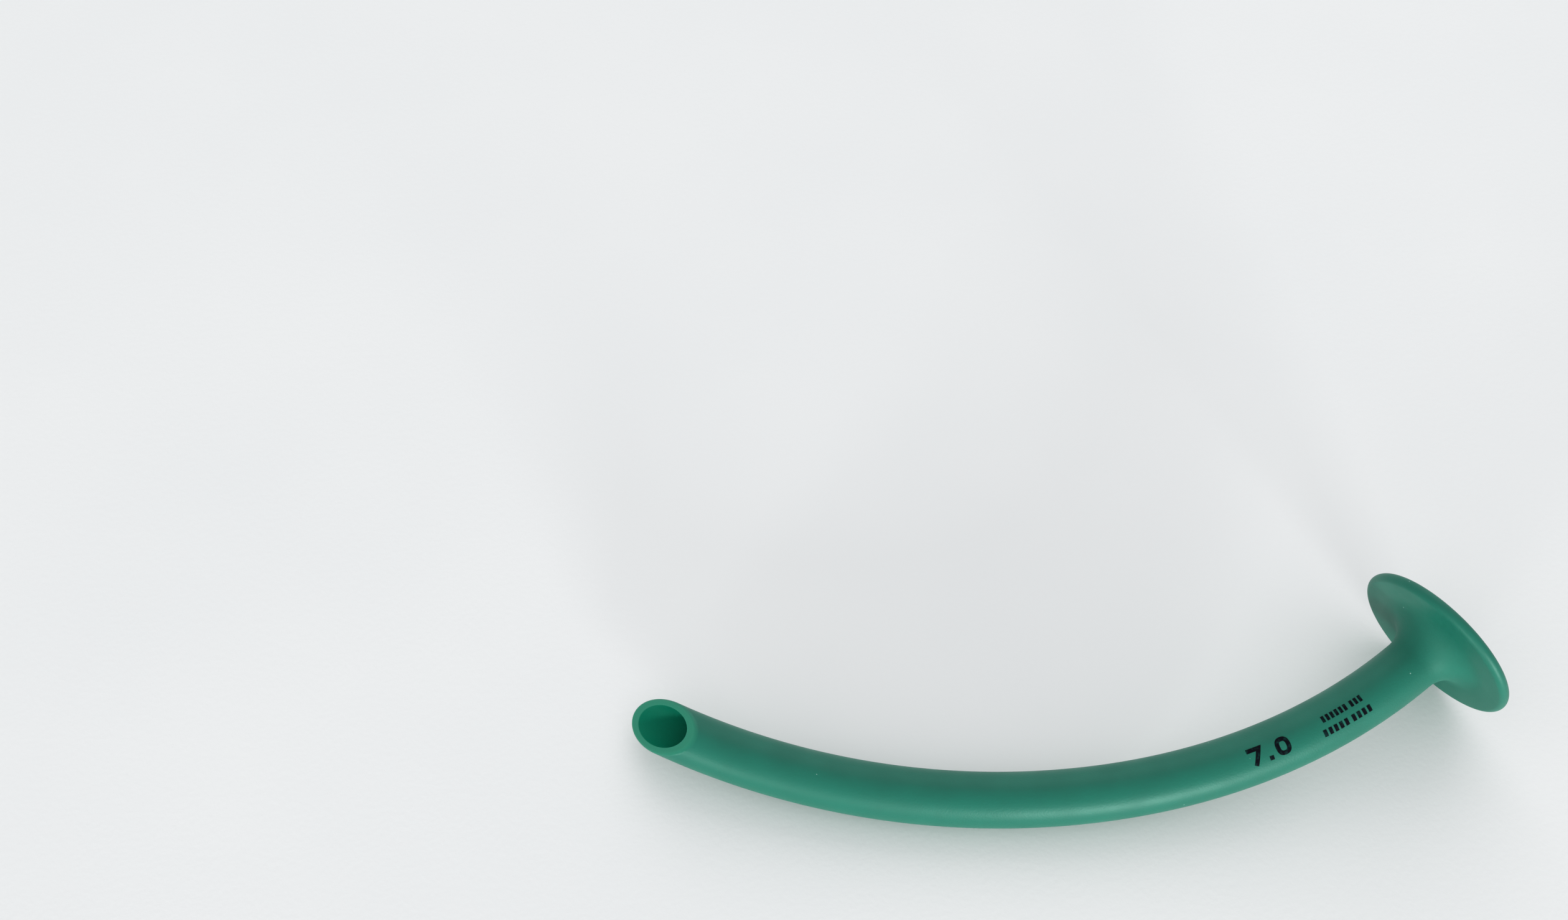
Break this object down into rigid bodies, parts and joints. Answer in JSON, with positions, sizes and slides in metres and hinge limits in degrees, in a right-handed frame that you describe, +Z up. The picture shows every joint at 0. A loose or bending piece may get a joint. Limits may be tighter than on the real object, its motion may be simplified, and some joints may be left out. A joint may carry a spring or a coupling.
{
  "type": "nasopharyngeal airway",
  "caption": "Curved soft rubber tube with a round flange at one end and a bevelled, rounded opening at the other, bored through from end to end.",
  "frame": {"origin": "on the surface that the airway lies on, under the middle of its box", "axes": "+X from the bevelled tip towards the flange along the chord of the bend, +Z up with the bevel facing up, so that the belly of the bend is towards -Y"},
  "size_m": [0.1464, 0.0354, 0.0288],
  "materials": {
    "airway_rubber": "satin",
    "print_ink": "matte"
  },
  "bodies": {
    "root": {"airway": "airway_rubber"}
  },
  "joints": []
}
